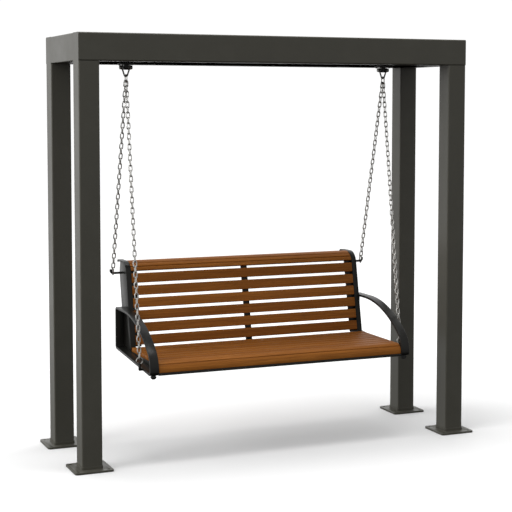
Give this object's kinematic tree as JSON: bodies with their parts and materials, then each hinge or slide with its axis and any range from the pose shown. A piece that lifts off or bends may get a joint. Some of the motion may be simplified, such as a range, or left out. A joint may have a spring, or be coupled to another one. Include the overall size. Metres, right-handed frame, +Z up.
{
  "type": "hanging swing bench",
  "caption": "Slatted timber bench with arm loops, hung on chains from pivoting links under a four-post steel portal frame; it swings front to back.",
  "frame": {"origin": "on the ground, in the middle of the four base plates", "axes": "+X along the beams to the right seen from the front, +Y to the rear, +Z up; the bench faces -Y"},
  "size_m": [2.196, 0.716, 2.1],
  "materials": {
    "portal_paint": "satin powder coat, warm dark grey",
    "hanger_black": "black powder coat",
    "bench_paint": "near-black powder coat, fine texture",
    "black_cap": "moulded rubber bumper",
    "wood_slat": "oiled hardwood, warm brown, fine lengthwise grain",
    "galvanised_chain": "galvanised steel",
    "plated_hardware": "zinc plated steel"
  },
  "bodies": {
    "frame": {"base_plate_front_left": "portal_paint", "base_plate_front_right": "portal_paint", "base_plate_rear_left": "portal_paint", "base_plate_rear_right": "portal_paint", "beam_end_caps": "portal_paint", "bracket_bolts": "plated_hardware", "front_beam": "portal_paint", "left_crossmember": "portal_paint", "left_end_beam": "portal_paint", "left_hanger_bracket": "hanger_black", "pivot_pins": "plated_hardware", "post_foot_collars": "portal_paint", "post_front_left": "portal_paint", "post_front_right": "portal_paint", "post_rear_left": "portal_paint", "post_rear_right": "portal_paint", "rear_beam": "portal_paint", "right_crossmember": "portal_paint", "right_end_beam": "portal_paint", "right_hanger_bracket": "hanger_black", "soffit_sheet": "portal_paint", "top_cover": "portal_paint"},
    "bails": {"left_bail": "plated_hardware", "right_bail": "plated_hardware"},
    "bench": {"arm_loop_bumpers": "black_cap", "back_slat_1": "wood_slat", "back_slat_2": "wood_slat", "back_slat_3": "wood_slat", "back_slat_4": "wood_slat", "back_slat_5": "wood_slat", "back_slat_6": "wood_slat", "back_slat_7": "wood_slat", "back_slat_8": "wood_slat", "centre_back_strap": "bench_paint", "centre_seat_rail": "bench_paint", "chain_lugs": "bench_paint", "chain_rings": "galvanised_chain", "front_left_chain": "galvanised_chain", "front_right_chain": "galvanised_chain", "front_seat_rail": "bench_paint", "left_arm_loop": "bench_paint", "left_back_upright": "bench_paint", "left_seat_rail": "bench_paint", "rear_chain_hooks": "bench_paint", "rear_left_chain": "galvanised_chain", "rear_right_chain": "galvanised_chain", "rear_seat_rail": "bench_paint", "right_arm_loop": "bench_paint", "right_back_upright": "bench_paint", "right_seat_rail": "bench_paint", "seat_nose_lower": "wood_slat", "seat_nose_upper": "wood_slat", "seat_slat_1": "wood_slat", "seat_slat_2": "wood_slat", "seat_slat_3": "wood_slat", "seat_slat_4": "wood_slat", "seat_slat_5": "wood_slat", "seat_slat_6": "wood_slat", "seat_slat_7": "wood_slat", "slat_screws": "plated_hardware"}
  },
  "joints": [
    {"name": "bail_swing", "type": "hinge", "parent": "frame", "child": "bails", "pos_m": [0, 0, 1.944], "axis": [1, 0, 0], "range_deg": [-25, 25]},
    {"name": "chain_pivot", "type": "hinge", "parent": "bails", "child": "bench", "pos_m": [0, 0, 1.9], "axis": [1, 0, 0], "range_deg": [-12, 12]}
  ]
}
